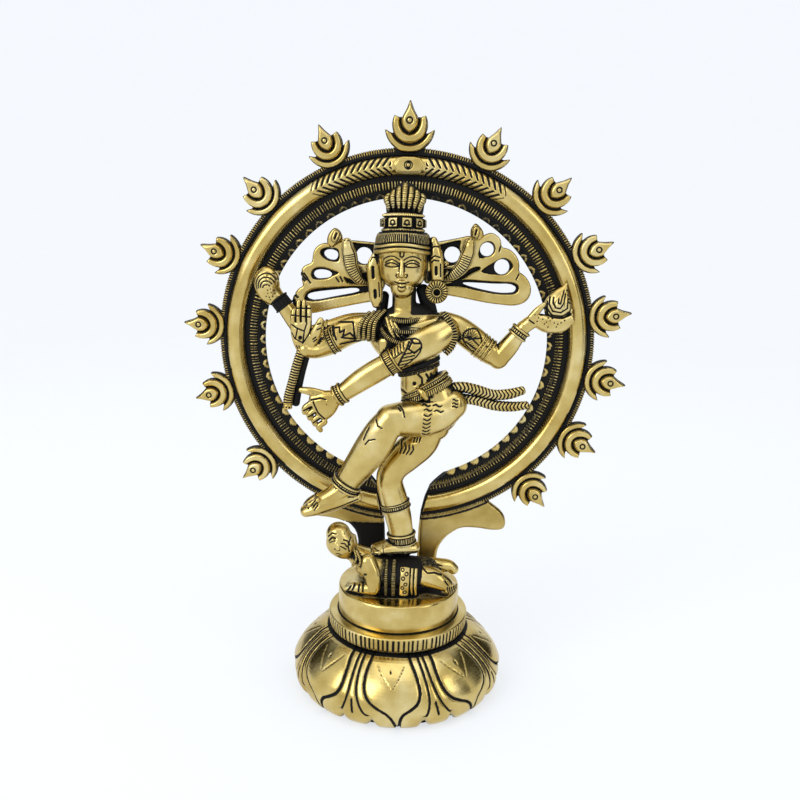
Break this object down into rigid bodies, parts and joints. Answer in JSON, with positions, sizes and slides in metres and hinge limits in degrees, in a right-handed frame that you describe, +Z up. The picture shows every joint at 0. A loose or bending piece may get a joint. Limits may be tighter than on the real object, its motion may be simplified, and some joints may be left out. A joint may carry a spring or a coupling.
{
  "type": "brass dancing figure statue",
  "caption": "Small cast brass dancing figure in a ring of flames, on a lotus base; a desk, shelf or altar ornament.",
  "frame": {"origin": "on the ground under the middle of the lotus base", "axes": "+Z up, the figure and the front of the ring face -Y, +X towards the hand with the small flame"},
  "size_m": [0.1753, 0.086, 0.2297],
  "materials": {
    "polished_brass": "polished cast brass with black patina in the hollows",
    "engraved_brass": "brass with punched and engraved marks, black in the cuts, worn bright on top",
    "dark_brass": "cast brass left dark under an oil patina"
  },
  "bodies": {
    "root": {"lotus_base": "polished_brass", "knurled_collar": "engraved_brass", "plinth_drum": "polished_brass", "hold_down_bolt": "dark_brass", "ring_frame": "dark_brass", "ring_torus": "polished_brass", "ring_milled_bead": "engraved_brass", "ring_scallop_edge": "engraved_brass", "keystone_plaque": "engraved_brass", "flame_01": "polished_brass", "flame_02": "polished_brass", "flame_03": "polished_brass", "flame_04": "polished_brass", "flame_05": "polished_brass", "flame_06": "polished_brass", "flame_07": "polished_brass", "flame_08": "polished_brass", "flame_09": "polished_brass", "flame_10": "polished_brass", "flame_11": "polished_brass", "flame_12": "polished_brass", "flame_13": "polished_brass", "flame_14": "polished_brass", "torso": "polished_brass", "head": "polished_brass", "diadem": "engraved_brass", "crown_plumes": "engraved_brass", "ears": "polished_brass", "ear_disc": "engraved_brass", "necklace": "engraved_brass", "shoulder_strands": "engraved_brass", "hair_fan_left": "polished_brass", "hair_fan_right": "polished_brass", "hair_cobras": "engraved_brass", "abhaya_arm": "polished_brass", "abhaya_hand": "polished_brass", "drum_arm": "polished_brass", "drum_hand": "polished_brass", "flame_arm": "polished_brass", "flame_hand": "polished_brass", "hand_flame": "engraved_brass", "gaja_arm": "polished_brass", "gaja_hand": "polished_brass", "arm_bands": "engraved_brass", "forearm_snake": "engraved_brass", "chest_belt": "engraved_brass", "hip_belt": "engraved_brass", "sash": "engraved_brass", "raised_leg": "polished_brass", "raised_foot": "polished_brass", "standing_leg": "polished_brass", "standing_foot": "polished_brass", "leg_bands": "engraved_brass", "dwarf_head": "polished_brass", "dwarf_body": "polished_brass", "dwarf_arm": "polished_brass", "dwarf_legs": "polished_brass", "dwarf_waistcloth": "engraved_brass"}
  },
  "joints": []
}
